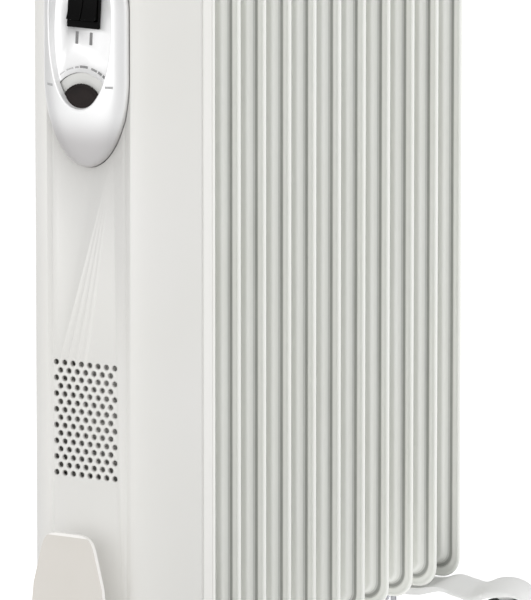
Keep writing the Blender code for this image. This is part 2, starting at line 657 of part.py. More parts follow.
# ---------------------------------------------------------------- assembly
fins()
headers()
header_fittings()
heating_element()
front_cover()
rear_shell()
control_panel()
switches()
thermostat()
electrics()
cord_hook()
for foot_name, foot_y in (("front", FRONT_FOOT_Y), ("rear", REAR_FOOT_Y)):
    foot(f"{foot_name}_foot", foot_y)
    u_bolt(f"{foot_name}_u_bolt", foot_y)
    wing_nut(f"{foot_name}_wing_nut_left", -U_BOLT_LEG, foot_y)
    wing_nut(f"{foot_name}_wing_nut_right", U_BOLT_LEG, foot_y)
for castor_name, (side, castor_y, castor_heading) in CASTORS.items():
    castor(castor_name, side * CASTOR_X, castor_y, castor_heading)
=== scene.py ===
"""The looks of the oil filled radiator heater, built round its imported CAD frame."""
import json
import math

import bmesh
import bpy
from mathutils import Matrix, Vector


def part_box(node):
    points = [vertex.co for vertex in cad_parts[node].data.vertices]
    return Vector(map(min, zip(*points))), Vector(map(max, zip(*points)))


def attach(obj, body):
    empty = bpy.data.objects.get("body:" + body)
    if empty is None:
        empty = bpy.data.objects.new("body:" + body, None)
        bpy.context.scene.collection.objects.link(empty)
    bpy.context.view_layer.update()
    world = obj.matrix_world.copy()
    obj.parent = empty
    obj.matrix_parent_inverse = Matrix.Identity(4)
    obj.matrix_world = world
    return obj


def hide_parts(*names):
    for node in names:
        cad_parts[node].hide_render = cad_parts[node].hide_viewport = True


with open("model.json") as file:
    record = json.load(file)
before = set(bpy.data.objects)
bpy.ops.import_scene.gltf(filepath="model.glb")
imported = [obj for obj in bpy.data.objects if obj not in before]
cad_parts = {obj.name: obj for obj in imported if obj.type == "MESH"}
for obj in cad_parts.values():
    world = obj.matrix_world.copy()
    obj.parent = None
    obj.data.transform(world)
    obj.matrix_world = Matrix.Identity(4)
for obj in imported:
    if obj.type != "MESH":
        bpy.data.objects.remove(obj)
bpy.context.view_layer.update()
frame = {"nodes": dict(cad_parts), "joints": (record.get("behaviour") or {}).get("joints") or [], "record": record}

MM = 0.001


# ---------------- places taken from the frame
def node_centre(node):
    """The middle of a CAD node's box."""
    low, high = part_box(node)
    return (low + high) / 2


JOINTS = {joint["name"]: joint for joint in frame["joints"]}
FIN_NAMES = sorted(name for name in frame["nodes"] if name.startswith("fin_"))
FIN_LOW, FIN_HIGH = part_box(FIN_NAMES[0])
FIN_Y = [node_centre(name).y for name in FIN_NAMES]
FIN_HALF_WIDTH = FIN_HIGH.x
FIN_BOTTOM, FIN_TOP = FIN_LOW.z, FIN_HIGH.z
FACE_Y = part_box("front_cover")[0].y
PARTING_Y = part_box("rear_shell")[0].y
SHELL_REAR_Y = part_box("rear_shell")[1].y


# ---------------- materials
def linear(value):
    """One sRGB channel, 0 to 255, as linear light."""
    value /= 255
    return value / 12.92 if value <= 0.04045 else ((value + 0.055) / 1.055) ** 2.4


def colour(red, green, blue):
    """An sRGB colour, 0 to 255 a channel, as linear RGBA."""
    return (linear(red), linear(green), linear(blue), 1.0)


class Surface:
    """A Principled material with object-space noise in its colour, roughness and height."""

    def __init__(self, name, base, roughness, metallic=0.0):
        self.material = bpy.data.materials.new(name)
        self.material.use_nodes = True
        self.nodes = self.material.node_tree.nodes
        self.links = self.material.node_tree.links
        self.shader = self.nodes["Principled BSDF"]
        self.base = base
        self.roughness = roughness
        self.shader.inputs["Base Color"].default_value = base
        self.shader.inputs["Roughness"].default_value = roughness
        self.shader.inputs["Metallic"].default_value = metallic
        self.place = self.nodes.new("ShaderNodeTexCoord").outputs["Object"]
        self.height = None

    def noise(self, scale, detail=2.0, stretch=None):
        texture = self.nodes.new("ShaderNodeTexNoise")
        texture.inputs["Scale"].default_value = scale
        texture.inputs["Detail"].default_value = detail
        source = self.place
        if stretch is not None:
            mapping = self.nodes.new("ShaderNodeMapping")
            mapping.inputs["Scale"].default_value = stretch
            self.links.new(source, mapping.inputs["Vector"])
            source = mapping.outputs["Vector"]
        self.links.new(source, texture.inputs["Vector"])
        return texture.outputs["Fac"]

    def vary_colour(self, scale, other, low=0.35, high=0.65, detail=3.0):
        """Mottles the base colour towards another one."""
        ramp = self.nodes.new("ShaderNodeValToRGB")
        ramp.color_ramp.elements[0].position = low
        ramp.color_ramp.elements[1].position = high
        ramp.color_ramp.elements[0].color = self.base
        ramp.color_ramp.elements[1].color = other
        self.links.new(self.noise(scale, detail), ramp.inputs["Fac"])
        self.links.new(ramp.outputs["Color"], self.shader.inputs["Base Color"])
        return self

    def vary_roughness(self, scale, spread, detail=3.0):
        span = self.nodes.new("ShaderNodeMapRange")
        span.inputs["To Min"].default_value = self.roughness - spread
        span.inputs["To Max"].default_value = self.roughness + spread
        self.links.new(self.noise(scale, detail), span.inputs["Value"])
        self.links.new(span.outputs["Result"], self.shader.inputs["Roughness"])
        return self

    def bump(self, scale, distance, detail=2.0, stretch=None):
        """Adds a layer of relief, in metres."""
        relief = self.nodes.new("ShaderNodeBump")
        relief.inputs["Distance"].default_value = distance
        self.links.new(self.noise(scale, detail, stretch), relief.inputs["Height"])
        if self.height is not None:
            self.links.new(self.height, relief.inputs["Normal"])
        self.height = relief.outputs["Normal"]
        self.links.new(self.height, self.shader.inputs["Normal"])
        return self

    def coat(self, weight, roughness):
        self.shader.inputs["Coat Weight"].default_value = weight
        self.shader.inputs["Coat Roughness"].default_value = roughness
        return self

    def specular(self, level):
        self.shader.inputs["Specular IOR Level"].default_value = level
        return self


def fin_enamel():
    made = Surface("baked fin enamel", colour(249, 250, 246), 0.34)
    made.vary_colour(9, colour(247, 248, 243)).vary_roughness(30, 0.05)
    return made.bump(420, 0.00004, 3.0).bump(26, 0.00010).coat(0.6, 0.12).material


# The seam enamels are greyer copies of the fin enamel: painted shade for the deep seam groove.
def painted_seam_shade(name, shade):
    made = Surface(name, colour(shade, shade + 1, shade - 3), 0.5)
    made.vary_colour(14, colour(shade - 6, shade - 5, shade - 9)).vary_roughness(30, 0.05)
    return made.bump(420, 0.00004, 3.0).material


def foot_enamel():
    made = Surface("white foot enamel", colour(241, 241, 240), 0.40)
    made.vary_colour(12, colour(238, 238, 237)).vary_roughness(40, 0.05)
    return made.bump(500, 0.00004, 3.0).material


def housing_plastic(name, shade):
    made = Surface(name, colour(shade, shade - 1, shade - 4), 0.46)
    made.vary_colour(6, colour(shade - 2, shade - 3, shade - 7)).vary_roughness(50, 0.04)
    return made.bump(1500, 0.00003, 4.0).bump(12, 0.00012).material


def hook_plastic(name, red, green, blue):
    made = Surface(name, colour(red, green, blue), 0.36)
    made.vary_colour(14, colour(red - 3, green - 3, blue - 4)).vary_roughness(50, 0.04)
    return made.bump(1500, 0.00003, 4.0).material


PEARL_PAINTED_SHADE_TURN = (482 * MM, 508 * MM)    # heights between which the pearl turns to its painted shade


def pearl_lacquer_with_painted_shade(name, shade, metallic, foot_painted_shade):
    """Flaked lacquer that turns to a second shade towards the foot of the panel: painted shade where the pillow
    turns down.
    """
    made = Surface(name, colour(shade, shade, shade), 0.33, metallic)
    height = made.nodes.new("ShaderNodeSeparateXYZ")
    span = made.nodes.new("ShaderNodeMapRange")
    span.interpolation_type = "SMOOTHSTEP"
    span.inputs["From Min"].default_value = PEARL_PAINTED_SHADE_TURN[0]
    span.inputs["From Max"].default_value = PEARL_PAINTED_SHADE_TURN[1]
    ramp = made.nodes.new("ShaderNodeValToRGB")
    ramp.color_ramp.elements[0].color = colour(foot_painted_shade + 2, foot_painted_shade, foot_painted_shade)
    ramp.color_ramp.elements[1].color = colour(shade, shade, shade)
    made.links.new(made.place, height.inputs["Vector"])
    made.links.new(height.outputs["Z"], span.inputs["Value"])
    made.links.new(span.outputs["Result"], ramp.inputs["Fac"])
    made.links.new(ramp.outputs["Color"], made.shader.inputs["Base Color"])
    made.vary_roughness(1200, 0.04)
    return made.bump(700, 0.000002, 2.0).coat(0.3, 0.10).material


def black_plastic():
    made = Surface("satin black plastic", colour(12, 11, 11), 0.42)
    made.vary_colour(60, colour(9, 9, 9)).vary_roughness(300, 0.06)
    return made.bump(1800, 0.00003, 4.0).specular(0.06).material


def grip_plastic():
    made = Surface("soft black grip", colour(40, 34, 33), 0.55)
    made.vary_colour(90, colour(34, 30, 29)).vary_roughness(400, 0.05)
    return made.bump(2200, 0.00005, 4.0).specular(0.15).material


def dial_plastic():
    made = Surface("light grey dial", colour(216, 216, 213), 0.42)
    made.vary_colour(70, colour(213, 213, 210)).vary_roughness(300, 0.05)
    return made.bump(1600, 0.00002, 3.0).material


def zinc_steel():
    made = Surface("zinc plated steel", colour(196, 197, 200), 0.32, 1.0)
    made.vary_colour(140, colour(178, 180, 186)).vary_roughness(220, 0.10)
    return made.bump(700, 0.00003, 3.0, (1, 1, 8)).material


def element_sheath():
    made = Surface("heat tinted sheath", colour(150, 128, 108), 0.40, 1.0)
    made.vary_colour(60, colour(110, 104, 112)).vary_roughness(200, 0.10)
    return made.bump(900, 0.00003, 3.0).material


def tread_rubber():
    made = Surface("black tread rubber", colour(38, 37, 37), 0.72)
    made.vary_colour(80, colour(48, 47, 46)).vary_roughness(200, 0.08)
    return made.bump(1200, 0.00008, 4.0).material


def print_ink(name, shade):
    made = Surface(name, colour(shade, shade, shade), 0.60)
    step = shade * 0.94
    return made.vary_colour(900, colour(step, step, step)).material


ENAMEL = fin_enamel()
# Painted shade: the seam's edge and floor get greyer enamel, standing in for the shade in the groove.
SEAM_EDGE_PAINTED_SHADE = painted_seam_shade("seam edge painted shade", 216)
SEAM_PAINTED_SHADE = painted_seam_shade("seam painted shade", 170)
FOOT_WHITE = foot_enamel()
HOUSING = housing_plastic("white moulded housing", 231)
# A lighter copy of the housing's plastic for the rear shell: painted light on the side.
SHELL_PAINTED_LIGHT = housing_plastic("white rear shell with painted light", 243)
# The hook's plastic is darker than the housing's: painted shade on the tongue.
HOOK_PAINTED_SHADE = hook_plastic("warm white hook with painted shade", 221, 217, 211)
# A lighter copy of the hook's plastic: painted highlight on its edges, and a lighter back that lifts the shade
# beside the tongue.
HOOK_PAINTED_HIGHLIGHT = hook_plastic("hook painted highlight", 250, 248, 245)
# The pearl's darker foot is painted shade on the pillow's lower belly.
PEARL_PAINTED_SHADE = pearl_lacquer_with_painted_shade("pearl silver lacquer", 236, 0.72, 200)
# A whiter copy of the pearl for the scoop: painted highlight.
PEARL_PAINTED_HIGHLIGHT = pearl_lacquer_with_painted_shade("pearl lacquer painted highlight", 253, 0.2, 253)
BLACK = black_plastic()
GRIP = grip_plastic()
DIAL = dial_plastic()
STEEL = zinc_steel()
SHEATH = element_sheath()
TREAD = tread_rubber()
SLOT_FINISH = {"fin_enamel": ENAMEL, "foot_enamel": FOOT_WHITE, "white_plastic": HOUSING,
               "pearl_plastic": PEARL_PAINTED_SHADE, "black_plastic": BLACK, "grey_plastic": DIAL,
               "zinc_steel": STEEL, "element_sheath": SHEATH, "tread_rubber": TREAD}


# ---------------- helpers
def add_piece(name, mesh, finish, body, stands_for=(), smooth_angle=40):
    """A visible piece: shaded, given its finish, riding on its body and standing for its CAD nodes."""
    mesh.shade_smooth()
    mesh.set_sharp_from_angle(angle=math.radians(smooth_angle))
    mesh.materials.clear()
    mesh.materials.append(finish)
    piece = bpy.data.objects.new(name, mesh)
    bpy.context.scene.collection.objects.link(piece)
    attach(piece, body)
    if stands_for:
        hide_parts(*stands_for)
    return piece


def add_cutter(name, mesh):
    cutter = bpy.data.objects.new(name, mesh)
    bpy.context.scene.collection.objects.link(cutter)
    return cutter


def apply_all(piece, *cutters):
    """Turns a piece's modifiers into its mesh, then removes the cutters it used."""
    graph = bpy.context.evaluated_depsgraph_get()
    made = bpy.data.meshes.new_from_object(piece.evaluated_get(graph))
    piece.modifiers.clear()
    piece.data = made
    for cutter in cutters:
        bpy.data.objects.remove(cutter)


def cut(piece, other):
    """Takes another object's shape out of a piece."""
    step = piece.modifiers.new(other.name, "BOOLEAN")
    step.operation = "DIFFERENCE"
    step.object = other
    step.solver = "EXACT"


def solidify(piece, thickness):
    step = piece.modifiers.new("wall", "SOLIDIFY")
    step.thickness = thickness
    step.offset = -1
    step.use_even_offset = True


def bevel(piece, width, segments=3, angle=40):
    step = piece.modifiers.new("bevel", "BEVEL")
    step.width = width
    step.segments = segments
    step.limit_method = "ANGLE"
    step.angle_limit = math.radians(angle)


def in_mm(points):
    """Pairs given in millimetres, in metres."""
    return [(first * MM, second * MM) for first, second in points]


def mesh_from(name, build):
    bm = bmesh.new()
    build(bm)
    mesh = bpy.data.meshes.new(name)
    bm.to_mesh(mesh)
    bm.free()
    return mesh


def loft_mesh(name, loops, cap_last=True, place=None):
    """Skins closed loops of equal length, facing out, in the frame given by place."""
    def build(bm):
        rings = [[bm.verts.new(point) for point in loop] for loop in loops]
        for low, high in zip(rings, rings[1:]):
            for i in range(len(low)):
                j = (i + 1) % len(low)
                bm.faces.new((low[i], low[j], high[j], high[i]))
        bm.faces.new(rings[0])
        last = bm.faces.new(rings[-1])
        bmesh.ops.recalc_face_normals(bm, faces=bm.faces)
        if not cap_last:
            bmesh.ops.delete(bm, geom=[last], context="FACES_ONLY")
        if place is not None:
            bm.transform(place)
    return mesh_from(name, build)


def turned_mesh(name, profile, steps=48, place=None):
    """A closed profile of (radius, height) run round +Z, then moved by place."""
    def build(bm):
        rings = []
        for step in range(steps):
            turn = 2 * math.pi * step / steps
            c, s = math.cos(turn), math.sin(turn)
            rings.append([bm.verts.new((r * c, r * s, h)) for r, h in profile])
        for first, second in zip(rings, rings[1:] + rings[:1]):
            for i in range(len(profile)):
                j = (i + 1) % len(profile)
                bm.faces.new((first[i], second[i], second[j], first[j]))
        bmesh.ops.remove_doubles(bm, verts=bm.verts, dist=1e-6)
        bmesh.ops.recalc_face_normals(bm, faces=bm.faces)
        if place is not None:
            bm.transform(place)
    return mesh_from(name, build)


def pin_mesh(name, radius, low, high, steps, place):
    """A plain pin along +Z, for cutting round holes."""
    return turned_mesh(name, [(0, low), (radius, low), (radius, high), (0, high)], steps, place)


def box_into(bm, size, place):
    bmesh.ops.create_cube(bm, size=1, matrix=place @ Matrix.Diagonal((*size, 1)))


def arc(centre, radius, start, end, steps):
    """Points on an arc, in degrees."""
    return [(centre[0] + radius * math.cos(math.radians(start + (end - start) * i / steps)),
             centre[1] + radius * math.sin(math.radians(start + (end - start) * i / steps)))
            for i in range(steps + 1)]


def rounded_rectangle(half_width, low, high, radius, segments=8):
    points = []
    corners = ((half_width - radius, high - radius, 0), (radius - half_width, high - radius, 90),
               (radius - half_width, low + radius, 180), (half_width - radius, low + radius, 270))
    for x, z, start in corners:
        points += arc((x, z), radius, start, start + 90, segments)
    return points


def smooth_step(low, high, value):
    t = min(1.0, max(0.0, (value - low) / (high - low)))
    return t * t * (3 - 2 * t)


def spline_value(points, position):
    """A Catmull-Rom curve through (position, value) points."""
    for i in range(len(points) - 1):
        if position <= points[i + 1][0] or i == len(points) - 2:
            (x0, y0), (x1, y1) = points[i], points[i + 1]
            before = points[max(i - 1, 0)]
            after = points[min(i + 2, len(points) - 1)]
            slope_0 = (y1 - before[1]) / (x1 - before[0])
            slope_1 = (after[1] - y0) / (after[0] - x0)
            t = (position - x0) / (x1 - x0)
            span = x1 - x0
            return ((2 * t**3 - 3 * t**2 + 1) * y0 + (t**3 - 2 * t**2 + t) * span * slope_0
                    + (3 * t**2 - 2 * t**3) * y1 + (t**3 - t**2) * span * slope_1)
    return points[-1][1]


Y_AXIS = Matrix.Rotation(math.radians(-90), 4, "X")    # turns +Z to +Y
SIDES = ((-1, "left"), (1, "right"))


# ---------------- fins
FIN_CORNER = 16       # radius of the outer corners, in mm
FIN_HEM_LIFT = 0.4    # how far the hem is set forward of the fin's middle, in mm
SEAM_PAINTED_SHADE_INSETS = (6.1, 10.0)    # insets between which the seam gets painted shade, in mm
SEAM_PAINTED_SHADE_FLOOR = (7.0, 9.0)     # insets of its darker painted shade at the bottom
# Inset from the fin's edge and half thickness, in mm: rolled rim, flat flange, seam, oil channel, web.
FIN_SECTION = ((0.0, 0.3), (0.1, 0.75), (0.35, 1.2), (0.75, 1.55), (1.3, 1.75), (1.9, 1.75),
               (2.5, 1.5), (2.9, 1.2), (3.2, 1.1), (4.6, 1.2), (5.8, 1.35), (6.1, 1.2), (6.5, 0.7),
               (7.0, 0.4), (7.8, 0.4), (9.0, 0.4), (9.6, 0.8), (10.0, 1.7), (10.5, 3.1), (11.0, 4.6),
               (11.7, 5.9), (12.5, 6.7), (13.4, 6.95), (15.0, 6.9), (17.0, 6.7), (19.0, 6.4),
               (21.0, 5.8), (23.0, 4.8), (25.0, 3.9), (27.5, 3.6), (30.5, 4.3), (33.5, 5.2),
               (37.0, 5.2), (40.0, 3.8), (43.0, 2.4))
FIN_SIDES = ([(inset, -half) for inset, half in reversed(FIN_SECTION)]
             + [(inset, half) for inset, half in FIN_SECTION])


def fin_mesh(centre_y):
    """One fin, lofted through its section from the middle of one side round the rim to the other."""
    loops = []
    for inset, offset in FIN_SIDES:
        offset -= FIN_HEM_LIFT * (1 - smooth_step(5.8, 6.4, inset))
        radius = max(FIN_CORNER - 0.55 * inset, 7)
        outline = rounded_rectangle(FIN_HALF_WIDTH - inset * MM, FIN_BOTTOM + inset * MM,
                                    FIN_TOP - inset * MM, radius * MM)
        loops.append([(x, centre_y + offset * MM, z) for x, z in outline])
    return loft_mesh("fin", loops)


def seam_painted_shade_index(first, second):
    """The material index of the band between two insets: face, or painted shade at the seam's edge or floor."""
    near, far = min(first, second), max(first, second)
    if near >= SEAM_PAINTED_SHADE_FLOOR[0] and far <= SEAM_PAINTED_SHADE_FLOOR[1]:
        return 2
    return 1 if near >= SEAM_PAINTED_SHADE_INSETS[0] and far <= SEAM_PAINTED_SHADE_INSETS[1] else 0


def fins():
    """All the fins, with painted shade in their seams, band by band."""
    for name, centre_y in zip(FIN_NAMES, FIN_Y):
        fin = add_piece(f"{name}_pressing", fin_mesh(centre_y), ENAMEL, "root",
                        (name,), 60)
        fin.data.materials.append(SEAM_EDGE_PAINTED_SHADE)
        fin.data.materials.append(SEAM_PAINTED_SHADE)
        # Bands between the seam insets get the painted shade.
        per_band = (len(fin.data.polygons) - 2) // (len(FIN_SIDES) - 1)
        for face in fin.data.polygons[:-2]:
            band = face.index // per_band
            face.material_index = seam_painted_shade_index(FIN_SIDES[band][0], FIN_SIDES[band + 1][0])


COLLAR_BORE = 14.5 * MM
COLLAR_RADIUS = 17.0 * MM


def headers():
    """The fins' collars: flared out of each web and welded in the middle of each gap."""
    # Distance from the fin's middle and radius, in mm, from the web to the weld.
    flare = ((1.6, 25.0), (3.0, 23.0), (5.0, 20.6), (7.5, 18.7), (10.5, 17.5), (14.0, 17.0),
             (17.6, 17.0), (18.0, 17.5), (18.6, 18.0), (19.0, 18.1))
    for node in ("upper_header", "lower_header"):
        low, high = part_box(node)
        centre = (low + high) / 2
        start = low.y - centre.y
        profile = [(COLLAR_BORE, start), (COLLAR_RADIUS, start),
                   (COLLAR_RADIUS, FIN_Y[0] - centre.y - 3 * MM)]
        for fin_y, next_y in zip(FIN_Y, FIN_Y[1:]):
            profile += [(r * MM, fin_y + t * MM - centre.y) for t, r in flare]
            profile += [(r * MM, next_y - t * MM - centre.y) for t, r in reversed(flare[:-1])]
        profile += [(COLLAR_BORE, FIN_Y[-1] - 1.6 * MM - centre.y)]
        place = Matrix.Translation(centre) @ Y_AXIS
        add_piece(f"{node}_collars", turned_mesh("collars", profile, 40, place), ENAMEL,
                  "root", (node,), 60)
        boss = [(0, 1.0), (24.0, 1.0), (22.5, 3.0), (20.5, 5.2), (18.0, 6.6), (14.5, 7.2), (10.5, 7.0),
                (7.5, 5.8), (4.5, 5.0), (0, 4.8)]
        place = Matrix.Translation((centre.x, FIN_Y[-1], centre.z)) @ Y_AXIS
        profile = in_mm(boss)
        add_piece(f"last_fin_{node}_boss", turned_mesh("boss", profile, 48, place), ENAMEL,
                  "root")


# ---------------- housing
FACE_HALF_WIDTH = 32.5 * MM
SIDE_SWEEP_X = 34.4 * MM      # the quarter ellipse of each side, across and back
SIDE_SWEEP_Y = 70.6 * MM
END_SWEEP_Z = 14 * MM         # how far the top and bottom fall back to the face
HOUSING_CORNER = 10 * MM
HOUSING_BOTTOM = 78 * MM
HOUSING_TOP = 656 * MM
PARTING_GAP = 1.0 * MM
COVER_WALL, SHELL_WALL = 2.5 * MM, 2.0 * MM
VENT_CENTRE = (-3.2 * MM, 275.7 * MM)
VENT_PITCH = (7.05 * MM, 5.91 * MM)
VENT_ROWS = 15
VENT_COLUMNS = 8
CREASE_DEPTH = 0.4 * MM
# Inset and depth, in mm, of the soft groove round the housing's face.
CREASE = ((3.2, 0), (2.4, 0.35), (1.6, 0.72), (1.0, 0.75), (0.4, 0.5))


def housing_outline(y, inset=0.0):
    """The housing's outline (x, z) at one depth, swept back from the face along quarter ellipses."""
    cosine = min(1.0, max(0.0, 1 - (y - FACE_Y) / SIDE_SWEEP_Y))
    sweep = math.sqrt(1 - cosine ** 2)
    half_width = FACE_HALF_WIDTH + SIDE_SWEEP_X * sweep - inset
    end = END_SWEEP_Z * (1 - sweep) + inset
    return rounded_rectangle(half_width, HOUSING_BOTTOM + end, HOUSING_TOP - end, HOUSING_CORNER)


def at_depth(outline, y):
    """An outline of (x, z) placed at one depth."""
    return [(x, y, z) for x, z in outline]


def vent_cutter():
    """Round holes with a small broken edge, in staggered rows of eight and seven."""
    profile = [(0, -3), (2.75, -3), (2.75, -0.25), (2.15, 0.45), (2.15, 8), (0, 8)]
    pin = in_mm(profile)

    def build(bm):
        for row in range(VENT_ROWS):
            count = VENT_COLUMNS - row % 2
            z = VENT_CENTRE[1] + (row - (VENT_ROWS - 1) / 2) * VENT_PITCH[1]
            for column in range(count):
                x = VENT_CENTRE[0] + (column - (count - 1) / 2) * VENT_PITCH[0]
                mesh = turned_mesh("vent", pin, 16, Matrix.Translation((x, FACE_Y, z)) @ Y_AXIS)
                bm.from_mesh(mesh)
                bpy.data.meshes.remove(mesh)
    return add_cutter("vents", mesh_from("vents", build))


def front_cover():
    """The face inside its soft groove, and the walls swept back to the parting line."""
    loops = [at_depth(housing_outline(FACE_Y, inset * MM), FACE_Y + depth * MM)
             for inset, depth in CREASE]
    loops.append(at_depth(housing_outline(FACE_Y), FACE_Y + CREASE_DEPTH))
    rear = PARTING_Y - PARTING_GAP
    end_angle = math.acos(1 - (rear - FACE_Y) / SIDE_SWEEP_Y)
    steps = 26
    for step in range(1, steps + 1):
        y = FACE_Y + SIDE_SWEEP_Y * (1 - math.cos(end_angle * step / steps))
        loops.append(at_depth(housing_outline(y), max(y, FACE_Y + CREASE_DEPTH * 0.6)))
    mesh = loft_mesh("front_cover", loops, cap_last=False)
    cover = add_piece("front_cover_shell", mesh, HOUSING, "root", ("front_cover",), 30)
    solidify(cover, COVER_WALL)
    vents = vent_cutter()
    oval = panel_outline(0.45 * MM)
    oval = loft_mesh("panel_opening", [at_depth(oval, FACE_Y + depth * MM) for depth in (-20, 30)])
    opening = add_cutter("panel_opening", oval)
    place = Matrix.Translation(node_centre("cord_gland"))
    hole = add_cutter("gland_hole", pin_mesh("gland_hole", 8.3 * MM, -20 * MM, 20 * MM, 32, place))
    for cutter in (opening, vents, hole):
        cut(cover, cutter)
    apply_all(cover, opening, vents, hole)


def rear_shell():
    """A shallow tray behind the cover; its wall runs back to the first fin's rim."""
    edge = 0.8 * MM    # the broken edge along the parting line
    loops = [at_depth(housing_outline(PARTING_Y, edge), PARTING_Y),
             at_depth(housing_outline(PARTING_Y + edge, 0.25 * edge), PARTING_Y + 0.3 * edge),
             at_depth(housing_outline(PARTING_Y + edge), PARTING_Y + edge)]
    steps = 5
    for step in range(1, steps + 1):
        y = PARTING_Y + edge + (SHELL_REAR_Y - PARTING_Y - edge) * step / steps
        loops.append(at_depth(housing_outline(y), y))
    mesh = loft_mesh("rear_shell", loops, cap_last=False)
    shell = add_piece("rear_shell_tray", mesh, SHELL_PAINTED_LIGHT, "root", ("rear_shell",), 30)
    solidify(shell, SHELL_WALL)
    holes = []
    for node in ("lower_header", "upper_header"):
        centre = node_centre(node)
        place = Matrix.Translation((centre.x, PARTING_Y, centre.z)) @ Y_AXIS
        hole = pin_mesh("hole", 23 * MM, -6 * MM, 6 * MM, 40, place)
        holes.append(add_cutter(f"{node}_hole", hole))
        cut(shell, holes[-1])
    apply_all(shell, *holes)


# ---------------- control panel
PANEL_HALF_WIDTH = 34.6 * MM
PANEL_ENDS = (68 * MM, 46 * MM)     # how far the rounded ends reach, at the bottom and at the top
PANEL_CROWN = 15.5 * MM             # height of the pillow, and the power of its curve
PANEL_POWER = 2.6
PANEL_WALL = 1.4 * MM
PANEL_BLEND = (0.003, 0.012, 0.03, 0.055, 0.09, 0.14, 0.2, 0.28, 0.38, 0.5, 0.62, 0.74, 0.85, 0.94, 1.0)
PANEL_BOTTOM, PANEL_TOP = 465 * MM, 628 * MM
PANEL_POINTS = 160
SCOOP_HALF_WIDTH = 26 * MM
SCOOP_TIP, SCOOP_MIDDLE, SCOOP_TOP = 510 * MM, 575 * MM, 619 * MM
SCOOP_POWERS = (2.2, 2.6)           # of the outline below and above its middle
SCOOP_LEAN = 0.085                  # slope of the scoop's floor
SCOOP_TIP_HEIGHT = 9.7 * MM
LIP_ROUND = 1.1 * MM
SWITCH_Z = 584.5 * MM
DIAL_Z = 511 * MM
DIAL_RADIUS = 25 * MM


def panel_outline(margin=0.0):
    """The panel's long oval, with a different half ellipse at each end."""
    half_width = PANEL_HALF_WIDTH + margin
    points = []
    for step in range(PANEL_POINTS):
        angle = 2 * math.pi * (step + 0.5) / PANEL_POINTS
        end = PANEL_ENDS[math.sin(angle) > 0]
        middle = PANEL_TOP - end if math.sin(angle) > 0 else PANEL_BOTTOM + end
        points.append((half_width * math.cos(angle), middle + (end + margin) * math.sin(angle)))
    return points


def scoop_outline(inset=0.0):
    """The scoop's outline: two half superellipses, the lower one drawn out to a tip."""
    points = []
    for step in range(PANEL_POINTS):
        angle = 2 * math.pi * (step + 0.5) / PANEL_POINTS
        c, s = math.cos(angle), math.sin(angle)
        power = SCOOP_POWERS[s > 0]
        reach = (SCOOP_TOP - SCOOP_MIDDLE if s > 0 else SCOOP_MIDDLE - SCOOP_TIP) - inset
        x = math.copysign(abs(c) ** (2 / power), c) * (SCOOP_HALF_WIDTH - inset)
        points.append((x, SCOOP_MIDDLE + math.copysign(abs(s) ** (2 / power), s) * reach))
    return points


def crown(x, z):
    """How far the panel's pillow stands off the housing's face at a point."""
    low, high = PANEL_BOTTOM + PANEL_ENDS[0], PANEL_TOP - PANEL_ENDS[1]
    along = max(0.0, (low - z) / PANEL_ENDS[0], (z - high) / PANEL_ENDS[1])
    radius = min(1.0, math.hypot(x / PANEL_HALF_WIDTH, along))
    return PANEL_CROWN * (1 - radius ** PANEL_POWER) ** (1 / PANEL_POWER)


def control_plane(z):
    """How far the scoop's floor stands off the housing's face at a height."""
    return SCOOP_TIP_HEIGHT - SCOOP_LEAN * (z - SCOOP_TIP)


def plane_frame(z):
    """A frame on the control plane at height z: local +Z out of the panel, local +X along world +X."""
    out = Vector((0, -1, SCOOP_LEAN)).normalized()
    across = Vector((1, 0, 0))
    up = out.cross(across)
    turn = Matrix((across, up, out)).transposed().to_4x4()
    return Matrix.Translation((0, FACE_Y - control_plane(z), z)) @ turn


def control_panel():
    """A crowned oval boss: a rounded lip, a wall and a leaning plane, cut away for dial and switches."""
    rim = panel_outline()
    lip = scoop_outline(-LIP_ROUND)
    loops = [at_depth(rim, FACE_Y + 2.4 * MM), at_depth(rim, FACE_Y + 0.2 * MM)]
    for blend in PANEL_BLEND:
        ring = [(x0 + (x1 - x0) * blend, z0 + (z1 - z0) * blend)
                for (x0, z0), (x1, z1) in zip(rim, lip)]
        loops.append([(x, FACE_Y - crown(x, z), z) for x, z in ring])
    for turn in (22.5, 45, 67.5, 90):
        fall = LIP_ROUND * (1 - math.cos(math.radians(turn)))
        ring = scoop_outline(-LIP_ROUND * (1 - math.sin(math.radians(turn))))
        loops.append([(x, FACE_Y - crown(x, z) + fall, z) for x, z in ring])
    draft, fillet = 0.6 * MM, 0.8 * MM
    edge = scoop_outline()
    for share in (0.3, 0.6, 0.85):
        ring = []
        for (x, z), (edge_x, edge_z) in zip(scoop_outline(draft * share), edge):
            top = crown(edge_x, edge_z) - LIP_ROUND
            ring.append((x, FACE_Y - top + (top - control_plane(z) - fillet) * share, z))
        loops.append(ring)
    for turn in (0, 30, 60, 90):
        c, s = math.cos(math.radians(turn)), math.sin(math.radians(turn))
        ring = scoop_outline(draft + fillet * (1 - c))
        loops.append([(x, FACE_Y - control_plane(z) - fillet * (1 - s), z) for x, z in ring])
    loops.reverse()
    mesh = loft_mesh("control_panel", loops, cap_last=False)
    panel = add_piece("control_panel_boss", mesh, PEARL_PAINTED_SHADE, "root", ("control_panel",), 50)
    solidify(panel, PANEL_WALL)

    def build_switch(bm):
        box_into(bm, (25 * MM, 30 * MM, 40 * MM), plane_frame(SWITCH_Z))
    opening = add_cutter("switch_opening", mesh_from("switch_opening", build_switch))
    dial_opening = add_cutter("dial_opening", dial_opening_mesh())
    cut(panel, opening)
    cut(panel, dial_opening)
    apply_all(panel, opening, dial_opening)
    # The scoop's floor and walls get the whiter pearl: painted highlight.
    panel.data.materials.append(PEARL_PAINTED_HIGHLIGHT)
    for face in panel.data.polygons:
        if inside_scoop(face.center.x, face.center.z - SCOOP_MIDDLE):
            face.material_index = 1


